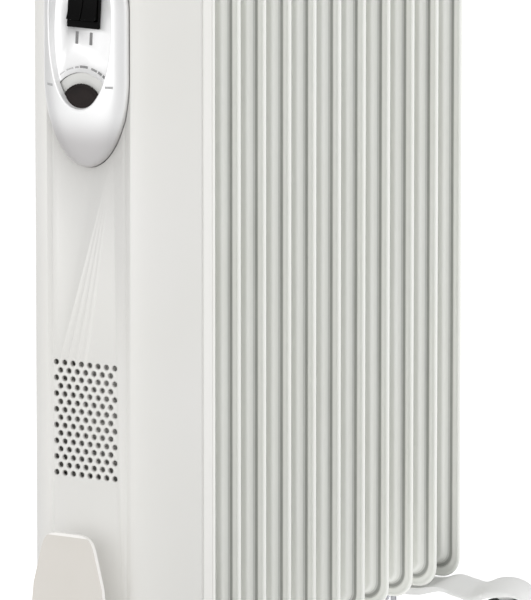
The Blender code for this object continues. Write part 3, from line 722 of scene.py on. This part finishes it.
def inside_scoop(x, z):
    """Whether a point, with z from the scoop's middle, is within the scoop and its edge."""
    power = SCOOP_POWERS[z > 0]
    reach = SCOOP_TOP - SCOOP_MIDDLE if z > 0 else SCOOP_MIDDLE - SCOOP_TIP
    return abs(x / SCOOP_HALF_WIDTH) ** power + abs(z / reach) ** power < 1.02


def dial_opening_mesh():
    """A circle flattened just under the scoop's tip, so that the skin over the dial stays whole."""
    radius, floor = DIAL_RADIUS + 0.15 * MM, -7 * MM
    start = math.degrees(math.asin(floor / radius))
    outline = arc((0, 0), radius, start, 180 - start, 96)
    loops = [[(x, y, h * MM) for x, y in outline] for h in (-14, 0.6)]
    return loft_mesh("dial_opening", loops, place=plane_frame(DIAL_Z))


ROCKER_TILT = math.radians(-8)
ROCKER_HALF_WIDTH, ROCKER_HALF_HEIGHT = 5.7 * MM, 12.2 * MM
ROCKER_OFFSET = 6 * MM    # of each rocker from the panel's middle


def switches():
    """A black frame round two rockers, each dished across its face."""
    base = plane_frame(SWITCH_Z)

    def build_frame(bm):
        box_into(bm, (27 * MM, 32 * MM, 2.4 * MM), base @ Matrix.Translation((0, 0, 1.5 * MM)))
    bezel = add_piece("switch_bezel", mesh_from("switch_bezel", build_frame), BLACK,
                      "root", ("switch_frame",), 30)
    bevel(bezel, 0.7 * MM)

    def build_window(bm):
        box_into(bm, (24.6 * MM, 25 * MM, 20 * MM), base @ Matrix.Translation((0, 1.5 * MM, 0)))
    window = add_cutter("switch_window", mesh_from("switch_window", build_window))
    cut(bezel, window)
    apply_all(bezel, window)
    steps = 14
    half = ROCKER_HALF_HEIGHT
    for side, name in SIDES:
        place = (base @ Matrix.Translation((side * ROCKER_OFFSET, 1.5 * MM, 2.6 * MM))
                 @ Matrix.Rotation(ROCKER_TILT, 4, "X"))
        face = [(-half + 2 * half * i / steps) for i in range(steps + 1)]
        outline = [(u, (1.6 + 1.9 * abs(u / half) ** 1.6) * MM) for u in face]
        outline += [(half - 3 * MM, -4 * MM), (3 * MM - half, -4 * MM)]
        loops = [[(w, u, v) for u, v in outline] for w in (-ROCKER_HALF_WIDTH, ROCKER_HALF_WIDTH)]
        rocker = add_piece(f"rocker_{name}_cap", loft_mesh("rocker", loops, place=place), BLACK,
                           f"rocker_{name}", (f"rocker_{name}",), 30)
        bevel(rocker, 0.5 * MM)
        apply_all(rocker)


def dial():
    """The thermostat's dial: a grey ring under a domed black hub, half hidden by the panel's lip."""
    base = plane_frame(DIAL_Z)
    ring = [(3.3, -3.7), (24.6, -3.7), (25.0, -3.4), (25.0, -1.9), (24.7, -1.5), (19.2, -1.5),
            (18.9, -1.65), (17.5, -1.65), (3.3, -1.65)]
    profile = in_mm(ring)
    add_piece("dial_ring", turned_mesh("dial_ring", profile, 120, base), DIAL, "dial",
              ("dial",), 30)
    flutes = 44
    steps = 6 * flutes
    levels = ((0.5, -1.2), (16.6, -1.2), (17.0, -0.9), (17.0, 0.3), (16.8, 0.6), (16.3, 0.75),
              (15.6, 0.8), (15.2, 0.45), (14.7, 0.4), (14.2, 0.75), (13.6, 1.1), (11.5, 1.35),
              (8.5, 1.6), (5.0, 1.75), (0.5, 1.8))

    def build(bm):
        rings = []
        for radius, height in levels:
            depth = 0.35 if radius > 15.5 and height > -1.0 else 0.0
            ring = []
            for step in range(steps):
                turn = 2 * math.pi * step / steps
                r = (radius - depth * (0.5 + 0.5 * math.cos(flutes * turn))) * MM
                ring.append(bm.verts.new((r * math.cos(turn), r * math.sin(turn), height * MM)))
            rings.append(ring)
        for low, high in zip(rings, rings[1:]):
            for i in range(steps):
                j = (i + 1) % steps
                bm.faces.new((low[i], low[j], high[j], high[i]))
        bm.faces.new(rings[0])
        bm.faces.new(rings[-1])
        bmesh.ops.recalc_face_normals(bm, faces=bm.faces)
        bm.transform(base)
    add_piece("dial_hub", mesh_from("dial_hub", build), GRIP, "dial",
              ("dial_grip",), 45)


def flat_mark(name, outline, place, finish):
    """A printed mark: a thin raised shape in the plane of place."""
    loops = [[(x, y, h * MM) for x, y in outline] for h in (-0.05, 0.12)]
    add_piece(name, loft_mesh(name, loops, place=place), finish, "root", (), 30)


def crown_mark(name, low_x, high_x, low_z, high_z, finish):
    """A printed bar that follows the panel's pillow."""
    columns = 12
    loops = []
    for lift in (-0.1, 0.08):
        edge = [(low_x + (high_x - low_x) * i / columns, low_z) for i in range(columns + 1)]
        edge += [(x, high_z) for x, _ in reversed(edge)]
        loops.append([(x * MM, FACE_Y - crown(x * MM, z * MM) - lift * MM, z * MM) for x, z in edge])
    add_piece(name, loft_mesh(name, loops), finish, "root", (), 30)


SCALE_RADIUS = 28.4
# The scale's bars: start and end in degrees, width in mm, grey shade.
SCALE_RUNS = ((131, 121, 0.9, 214), (118, 106, 1.1, 196), (103, 97, 1.2, 176), (95, 82, 1.7, 140),
              (76, 66, 1.6, 148), (64, 57, 1.8, 138), (55, 46, 2.0, 132))


def printed_marks():
    """Plain bars: the scale over the dial, one below each rocker and one at each end of the dial."""
    base = plane_frame(DIAL_Z)
    for index, (start, end, width, shade) in enumerate(SCALE_RUNS):
        outline = arc((0, 0), (SCALE_RADIUS + width) * MM, start, end, 10)
        outline += arc((0, 0), SCALE_RADIUS * MM, end, start, 10)
        flat_mark(f"scale_mark_{index + 1}", outline, base, print_ink(f"scale ink {index + 1}", shade))
    ink = print_ink("rocker mark ink", 132)
    for side, name in SIDES:
        outline = rounded_rectangle(1.2 * MM, -4.6 * MM, 4.6 * MM, 0.4 * MM, 3)
        flat_mark(f"rocker_mark_{name}", outline, plane_frame(561 * MM) @
                  Matrix.Translation((side * 5.9 * MM, 0, 0)), ink)
    ink = print_ink("dial limit ink", 180)
    crown_mark("dial_limit_left", -27.5, -22.0, 525.0, 526.8, ink)
    crown_mark("dial_limit_right", 22.0, 27.5, 527.0, 528.8, ink)


# ---------------- cord hook, feet
# Height, distance off the housing's face and half width, in mm, from the tongue's top to its root.
HOOK_STATIONS = ((197.4, 32, 7.5), (197.1, 32, 11.5), (196.2, 32, 15.0), (194.3, 32, 18.0),
                 (191.2, 32, 20.2), (186.5, 32, 21.9), (176, 32, 24.6), (158, 32, 29.0),
                 (138, 32, 31.0), (118, 31.8, 31.5), (110, 29.5, 31.0), (103.5, 24.5, 30.0),
                 (99.8, 17.5, 28.6), (98.4, 9.5, 27.4), (98.0, 3.6, 27.0), (101, 3.4, 27.0),
                 (113.8, 3.4, 27.0))
HOOK_HOLLOW = 1.5            # how deep the tongue's front is dished, in mm
HOOK_WALL = 3 * MM
HOOK_HIGHLIGHT_ABOVE = 195.4      # the height over which the tongue's top has its painted highlight, in mm


def cord_hook():
    """An upright tongue that stands off the housing's face, bent back to it at the bottom."""
    columns, pieces = 28, 4
    fine = []
    for first, second in zip(HOOK_STATIONS, HOOK_STATIONS[1:]):
        for part in range(pieces):
            fine.append([a + (b - a) * part / pieces for a, b in zip(first, second)])
    fine.append(HOOK_STATIONS[-1])

    def build(bm):
        rows = []
        for z, off, half in fine:
            row = []
            for i in range(columns + 1):
                u = 2 * i / columns - 1
                ends = smooth_step(197.4, 186, z) * smooth_step(99, 120, z)
                hollow = HOOK_HOLLOW * (1 - abs(u) ** 3) * ends
                row.append(bm.verts.new((u * half * MM, FACE_Y - (off - hollow) * MM, z * MM)))
            rows.append(row)
        for upper, lower in zip(rows, rows[1:]):
            for i in range(columns):
                bm.faces.new((upper[i], lower[i], lower[i + 1], upper[i + 1]))
    hook = add_piece("cord_hook_tongue", mesh_from("cord_hook", build), HOOK_PAINTED_SHADE, "root",
                     ("cord_hook",), 50)
    # Top rows, rim, bevels and the back get the painted highlight.
    hook.data.materials.append(HOOK_PAINTED_HIGHLIGHT)
    for face in hook.data.polygons:
        if face.center.z > HOOK_HIGHLIGHT_ABOVE * MM:
            face.material_index = 1
    solidify(hook, HOOK_WALL)
    hook.modifiers["wall"].material_offset = 1
    hook.modifiers["wall"].material_offset_rim = 1
    bevel(hook, 1.3 * MM, 5, 60)
    hook.modifiers["bevel"].material = 1
    apply_all(hook)


# Distance from the middle and height of the arm's crest, in mm.
FOOT_PROFILE = ((0, 70.5), (40, 70.5), (52, 71.2), (57, 72.2), (62, 74.4), (73, 79), (85, 77.7),
                (97, 76), (104, 78), (111, 81.2), (118, 82.5), (125, 82.2), (132, 79.6), (138, 74.4),
                (141, 69))
FOOT_END = 95 * MM           # where each end starts to narrow
FOOT_SHEET = 2.4 * MM
U_BOLT_LEG = 19.8 * MM       # of each leg from the middle
U_BOLT_ROD = 2.5 * MM        # radius


def foot(node):
    """A pressed gull-wing arm, arched across, with a socket for each castor."""
    low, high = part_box(node)
    centre = (low + high) / 2
    half_span = high.x
    half_length = (high.y - low.y) / 2 - 5 * MM
    stations = 120

    def section(reach, fall, lip):
        """(y, drop) across the arm at one station: arched, with a small lip turned down at each side."""
        half = half_length * math.sqrt(max(0.0, 1 - 0.8 * reach ** 2.4))
        points = [(half * i / 12, fall * abs(i / 12) ** 2) for i in range(-12, 13)]
        return [(-half, fall + lip)] + points + [(half, fall + lip)]

    def build(bm):
        rows = []
        for step in range(stations + 1):
            x = half_span * math.sin(math.pi * (step / stations - 0.5))
            z = spline_value(FOOT_PROFILE, abs(x) / MM) * MM
            reach = max(0.0, (abs(x) - FOOT_END) / (half_span - FOOT_END))
            shrink = 1 - 0.45 * smooth_step(0.5, 1, reach)
            arched = smooth_step(54, 84, abs(x) / MM)
            fall = (0.4 + 7 * arched) * MM
            lip = (5.4 - 3.0 * arched + 2.2 * smooth_step(88, 106, abs(x) / MM)) * MM
            rows.append([bm.verts.new((x, centre.y + y, z - drop * shrink))
                         for y, drop in section(reach, fall, lip)])
        for left, right in zip(rows, rows[1:]):
            for i in range(len(left) - 1):
                bm.faces.new((left[i], right[i], right[i + 1], left[i + 1]))
    piece = add_piece(f"{node}_arm", mesh_from(node, build), FOOT_WHITE, "root",
                      (node,), 60)
    solidify(piece, FOOT_SHEET)
    bevel(piece, 0.6 * MM, 2, 70)
    cutters = []
    for side in (-1, 1):
        bolt = node_centre(node.replace("foot", "u_bolt"))
        place = Matrix.Translation((side * U_BOLT_LEG, bolt.y, 66 * MM))
        hole = pin_mesh("bolt_hole", 3 * MM, -10 * MM, 12 * MM, 24, place)
        cutters.append(add_cutter(f"bolt_hole_{side}", hole))
        cut(piece, cutters[-1])
    apply_all(piece, *cutters)
    for side, name in SIDES:
        castor = JOINTS[f"castor_{node.split('_')[0]}_{name}_turn"]["pos_m"]
        socket = [(4.3, 66), (6.6, 66), (7.0, 66.5), (7.2, 75), (9.0, 79.6), (4.3, 79.6)]
        profile = in_mm(socket)
        place = Matrix.Translation((castor[0], castor[1], 0))
        add_piece(f"{node}_socket_{name}", turned_mesh("socket", profile, 32, place), FOOT_WHITE,
                  "root")


def u_bolt(end):
    """A rod over the lower header, its threaded ends through the foot and held by wing nuts."""
    node = f"{end}_u_bolt"
    low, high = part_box(node)
    y = (low.y + high.y) / 2
    bend = high.z - U_BOLT_ROD - U_BOLT_LEG
    route = [(-U_BOLT_LEG, low.z + (bend - low.z) * i / 24) for i in range(24)]
    route += arc((0, bend), U_BOLT_LEG, 180, 0, 32)
    route += [(U_BOLT_LEG, bend - (bend - low.z) * i / 24) for i in range(1, 25)]
    loops = []
    for i, (x, z) in enumerate(route):
        before, after = route[max(i - 1, 0)], route[min(i + 1, len(route) - 1)]
        along = Vector((after[0] - before[0], 0, after[1] - before[1])).normalized()
        side = along.cross(Vector((0, 1, 0)))
        turns = [2 * math.pi * k / 20 for k in range(20)]
        loops.append([Vector((x, y, z))
                      + U_BOLT_ROD * (side * math.cos(a) + Vector((0, 1, 0)) * math.sin(a))
                      for a in turns])
    add_piece(f"{node}_rod", loft_mesh("u_bolt", loops), STEEL, "root", (node,), 50)
    for side, name in SIDES:
        wing_nut(f"{end}_wing_nut_{name}")


def wing_nut(node):
    low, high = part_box(node)
    centre = (low + high) / 2
    top = high.z
    body = [(2.8, 0), (5.5, 0), (5.4, -1.2), (4.6, -6.4), (4.2, -7.0), (2.8, -7.0)]
    profile = in_mm(body)
    ear = [(3.2, -1.6), (5.0, -1.8), (8.6, -4.2), (11.6, -8.6), (12.6, -11.4), (11.2, -12.6),
           (9.2, -11.8), (6.4, -8.2), (4.4, -6.2), (3.2, -6.0)]

    def build(bm):
        mesh = turned_mesh("nut", profile, 32)
        bm.from_mesh(mesh)
        bpy.data.meshes.remove(mesh)
        for side in (-1, 1):
            loops = [[(w * MM, side * u * MM, v * MM) for u, v in ear] for w in (-1.1, 1.1)]
            wing = loft_mesh("wing", loops)
            bm.from_mesh(wing)
            bpy.data.meshes.remove(wing)
        bm.transform(Matrix.Translation((centre.x, centre.y, top)))
    nut = add_piece(f"{node}_forging", mesh_from(node, build), STEEL, "root", (node,), 40)
    bevel(nut, 0.35 * MM, 2)
    apply_all(nut)


# ---------------- castors
WHEEL_RADIUS = 21            # in mm


def castor(name):
    """A hooded fork on a steel stem, with a moulded hub and a rubber tread on its axle."""
    turn_joint, roll_joint = JOINTS[f"castor_{name}_turn"], JOINTS[f"castor_{name}_roll"]
    swivel = Vector(turn_joint["pos_m"])
    hub = Vector(roll_joint["pos_m"])
    axle = Vector(roll_joint["axis"]).normalized()
    ahead = axle.cross(Vector((0, 0, 1))).normalized()
    if ahead.dot(Vector((hub.x - swivel.x, hub.y - swivel.y, 0))) < 0:
        ahead = -ahead
    side = Vector((0, 0, 1)).cross(ahead)
    turn = Matrix((ahead, side, Vector((0, 0, 1)))).transposed().to_4x4()
    fork_place = Matrix.Translation((swivel.x, swivel.y, 0)) @ turn
    hub_place = Matrix.Translation(hub) @ turn @ Y_AXIS
    top, half_width = 65 * MM, 11.5 * MM
    outline = [(-12 * MM, top - 5 * MM), (-11.4 * MM, top - 2 * MM), (-9 * MM, top - 0.3 * MM),
               (-6 * MM, top), (8 * MM, top), (13 * MM, top - 1.6 * MM), (18 * MM, top - 5.5 * MM)]
    outline += arc((12 * MM, hub.z + 16 * MM), 17 * MM, 48, -28, 12)
    outline += arc((12 * MM, hub.z), 6.5 * MM, -20, -160, 10)
    outline += [(-4 * MM, 33 * MM), (-8.5 * MM, 43 * MM), (-11.4 * MM, 52 * MM)]
    loops = [[(u, w, v) for u, v in outline] for w in (-half_width, half_width)]
    fork = add_piece(f"castor_{name}_hood", loft_mesh("fork", loops, place=fork_place), BLACK,
                     f"castor_{name}_swivel", (f"castor_{name}_fork",), 35)
    bevel(fork, 1.6 * MM, 4)
    slot_profile = [(0, -9), (22.6, -9), (23.4, -8.2), (23.4, 8.2), (22.6, 9), (0, 9)]
    slot = turned_mesh("slot", in_mm(slot_profile), 64, hub_place)
    slot = add_cutter(f"castor_{name}_slot", slot)
    cut(fork, slot)
    apply_all(fork, slot)
    stem = [(0, 63), (4.0, 63), (4.0, 75.4), (3.4, 76), (0, 76)]
    place = Matrix.Translation((swivel.x, swivel.y, 0))
    stem = turned_mesh("stem", in_mm(stem), 32, place)
    add_piece(f"castor_{name}_stem", stem, STEEL, f"castor_{name}_swivel")
    radius = WHEEL_RADIUS * math.cos(math.pi / 18)    # stays inside the CAD wheel's flats
    tyre = [(16.0, -6.6), (17.5, -7.6), (19.3, -7.6), (20.2, -6.9), (radius - 0.12, -4.5),
            (radius, -1.5), (radius, 1.5), (radius - 0.12, 4.5), (20.2, 6.9), (19.3, 7.6), (17.5, 7.6),
            (16.0, 6.6)]
    tyre = turned_mesh("tyre", in_mm(tyre), 72, hub_place)
    add_piece(f"castor_{name}_tyre", tyre, TREAD, f"castor_{name}_wheel",
              (f"castor_{name}_wheel",), 50)

    def build_hub(bm):
        core = [(2.8, -7.8), (5.2, -7.8), (5.6, -7.2), (5.6, -2.0), (14.0, -1.6), (14.4, -6.4),
                (16.2, -6.9), (16.2, 6.9), (14.4, 6.4), (14.0, 1.6), (5.6, 2.0), (5.6, 7.2),
                (5.2, 7.8), (2.8, 7.8)]
        mesh = turned_mesh("hub", in_mm(core), 48)
        bm.from_mesh(mesh)
        bpy.data.meshes.remove(mesh)
        for spoke in range(6):
            place = Matrix.Rotation(math.radians(60 * spoke), 4, "Z") @ Matrix.Translation((10 * MM, 0, 0))
            box_into(bm, (9.6 * MM, 1.6 * MM, 11 * MM), place)
        bm.transform(hub_place)
    add_piece(f"castor_{name}_hub", mesh_from("hub", build_hub), BLACK,
              f"castor_{name}_wheel", (), 35)
    pin = [(0, -11.6), (2.0, -11.6), (2.45, -11.2), (2.45, 11.2), (2.0, 11.6), (0, 11.6)]
    pin = turned_mesh("pin", in_mm(pin), 32, hub_place)
    add_piece(f"castor_{name}_pin", pin, STEEL, f"castor_{name}_swivel",
              (f"castor_{name}_axle",), 35)


# ---------------- carried-over nodes, stage, light, camera
def finish_frame_nodes():
    """The solids whose shape stays get the finish of their slot."""
    slots = {part["node"]: part["material_slot"] for part in frame["record"]["subparts"]}
    for name, node in frame["nodes"].items():
        node.data.materials.clear()
        node.data.materials.append(SLOT_FINISH[slots[name]])


CAMERA_AZIMUTH = math.radians(29.372)
CAMERA_ELEVATION = math.radians(11.954)
CAMERA_DISTANCE = 7.669
CAMERA_LENS = 624.8
CAMERA_TARGET = Vector((0.0761, -0.0872, 0.3504))

# How the floor glows round the heater: the colour ramp's stops along the radial gradient, from
# FLOOR_GLOW_START through a full turn, in degrees, and the strength at each.
FLOOR_GLOW = ((-90, 0.0), (-64, 0.0), (-44, 0.85), (12, 0.85), (38, 0.3), (90, 0.25), (128, 0.9),
              (236, 1.0), (256, 0.0))
FLOOR_GLOW_START = -90
FLOOR_GLOW_CENTRE = (-0.19, -0.72)     # the glow grows with the distance from this point
FLOOR_GLOW_SPAN = ((0.55, 0.16), (1.05, 0.6))    # distance in metres and strength, near and far


def stage():
    """A plain white floor that glows softly in front of the heater and behind it."""
    def build(bm):
        bmesh.ops.create_grid(bm, x_segments=1, y_segments=1, size=30)
    floor = bpy.data.objects.new("studio_floor", mesh_from("studio_floor", build))
    bpy.context.scene.collection.objects.link(floor)
    surface = Surface("white studio floor", colour(238, 238, 238), 0.85)
    surface.vary_colour(2, colour(236, 236, 236))
    bearing = surface.nodes.new("ShaderNodeTexGradient")
    bearing.gradient_type = "RADIAL"
    ramp = surface.nodes.new("ShaderNodeValToRGB")
    ramp.color_ramp.interpolation = "EASE"
    stops = ramp.color_ramp.elements
    while len(stops) < len(FLOOR_GLOW):
        stops.new(0.5)
    for stop, (azimuth, glow) in zip(stops, FLOOR_GLOW):
        stop.position = (azimuth - FLOOR_GLOW_START) / 360
        stop.color = (glow, glow, glow, 1)
    shifted = surface.nodes.new("ShaderNodeMapping")
    centre = FLOOR_GLOW_CENTRE
    shifted.inputs["Location"].default_value = (-centre[0], -centre[1], 0)
    reach = surface.nodes.new("ShaderNodeVectorMath")
    reach.operation = "LENGTH"
    span = surface.nodes.new("ShaderNodeMapRange")
    span.interpolation_type = "SMOOTHSTEP"
    (near, dim), (far, bright) = FLOOR_GLOW_SPAN
    span.inputs["From Min"].default_value = near
    span.inputs["From Max"].default_value = far
    span.inputs["To Min"].default_value = dim
    span.inputs["To Max"].default_value = bright
    surface.links.new(surface.place, bearing.inputs["Vector"])
    surface.links.new(bearing.outputs["Fac"], ramp.inputs["Fac"])
    surface.links.new(surface.place, shifted.inputs["Vector"])
    surface.links.new(shifted.outputs["Vector"], reach.inputs[0])
    surface.links.new(reach.outputs["Value"], span.inputs["Value"])
    surface.links.new(ramp.outputs["Color"], surface.shader.inputs["Emission Color"])
    surface.links.new(span.outputs["Result"], surface.shader.inputs["Emission Strength"])
    floor.data.materials.append(surface.material)


def area_light(name, place, target, size, power):
    """A rectangular lamp aimed at a point."""
    light = bpy.data.lights.new(name, "AREA")
    light.shape = "RECTANGLE"
    light.size, light.size_y = size
    light.energy = power
    lamp = bpy.data.objects.new(name, light)
    lamp.location = place
    aim = Vector(target) - Vector(place)
    lamp.rotation_euler = aim.to_track_quat("-Z", "Y").to_euler()
    bpy.context.scene.collection.objects.link(lamp)


def lights():
    """A white surround, a large soft lamp in front and a weak one behind on the right."""
    world = bpy.data.worlds.new("studio")
    bpy.context.scene.world = world
    world.use_nodes = True
    background = world.node_tree.nodes["Background"]
    background.inputs["Color"].default_value = (1, 1, 1, 1)
    background.inputs["Strength"].default_value = 0.76
    middle = (0, 0, 0.35)
    area_light("front", (0.35, -4.0, 0.8), middle, (3.0, 2.4), 36)
    area_light("rear_right", (2.1, 1.4, 1.2), middle, (1.2, 1.6), 6)


def camera():
    """A long lens, so that the lines stay nearly parallel."""
    data = bpy.data.cameras.new("photo_view")
    data.lens = CAMERA_LENS
    data.sensor_width = 36
    data.clip_end = 60
    eye = bpy.data.objects.new("photo_view", data)
    back = Vector((math.sin(CAMERA_AZIMUTH) * math.cos(CAMERA_ELEVATION),
                   -math.cos(CAMERA_AZIMUTH) * math.cos(CAMERA_ELEVATION), math.sin(CAMERA_ELEVATION)))
    eye.location = CAMERA_TARGET + CAMERA_DISTANCE * back
    eye.rotation_euler = (-back).to_track_quat("-Z", "Y").to_euler()
    bpy.context.scene.collection.objects.link(eye)
    bpy.context.scene.camera = eye
    bpy.context.scene.view_settings.view_transform = "Standard"


finish_frame_nodes()
fins()
headers()
front_cover()
rear_shell()
control_panel()
switches()
dial()
printed_marks()
cord_hook()
for foot_end in ("front", "rear"):
    foot(f"{foot_end}_foot")
    u_bolt(foot_end)
for castor_name in ("front_left", "front_right", "rear_left", "rear_right"):
    castor(castor_name)
stage()
lights()
camera()
